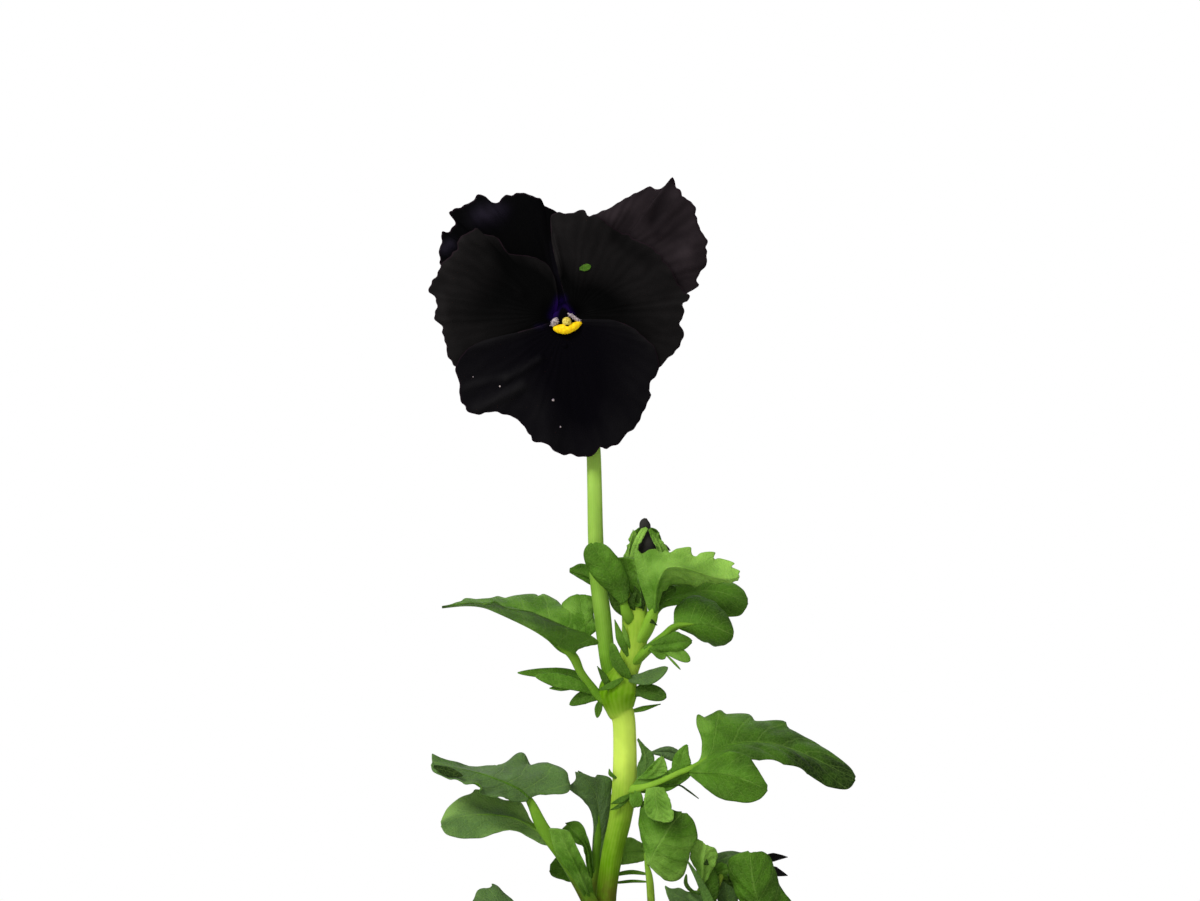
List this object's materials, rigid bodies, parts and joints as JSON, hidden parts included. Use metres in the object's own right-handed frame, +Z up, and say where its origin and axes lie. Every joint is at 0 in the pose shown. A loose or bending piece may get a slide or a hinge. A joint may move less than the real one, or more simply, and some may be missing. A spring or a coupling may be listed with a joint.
{
  "type": "potted pansy",
  "caption": "Flowering plant in a plain clay pot: a broad five-petalled bloom on an upright hooked stalk over a leafy stem with closed buds.",
  "frame": {"origin": "centre of the pot's foot, on the plane it stands on", "axes": "+Z up along the plant's height; the flower faces -Y; +X is to the right seen from the front"},
  "size_m": [0.11, 0.11, 0.2749],
  "materials": {
    "clay": "matt fired clay",
    "soil": "crumbly",
    "stem": "smooth and juicy",
    "leaf": "satin",
    "petal": "velvety",
    "pistil": "satin"
  },
  "bodies": {
    "root": {"pot": "clay", "soil": "soil", "main_stem": "stem", "right_stem": "stem", "left_stem": "stem", "flower_stalk": "stem", "petal_lower": "petal", "petal_side_right": "petal", "petal_side_left": "petal", "petal_upper_right": "petal", "petal_upper_left": "petal", "flower_calyx": "leaf", "pistil": "pistil", "top_bud_petals": "petal", "top_bud_calyx": "leaf", "low_bud_petals": "petal", "low_bud_calyx": "leaf", "leaf_upper_left": "leaf", "leaf_upper_back": "leaf", "leaf_oblong": "leaf", "leaf_cupped": "leaf", "leaf_upper_right": "leaf", "leaf_right_back": "leaf", "leaf_right_round": "leaf", "leaf_middle_left": "leaf", "leaf_low_left": "leaf", "leaf_by_stem": "stem", "leaf_bottom_left": "leaf", "leaf_middle_right": "leaf", "leaf_low_front": "leaf", "leaf_low_yellow": "leaf", "leaf_low_right": "leaf", "leaf_low_middle": "leaf", "leaf_behind_stem": "stem", "low_leaf_1": "leaf", "low_leaf_2": "leaf", "low_leaf_3": "leaf", "low_leaf_4": "leaf", "low_leaf_5": "leaf", "low_leaf_6": "leaf", "low_leaf_7": "leaf", "low_leaf_8": "leaf", "low_leaf_9": "leaf"}
  },
  "joints": []
}
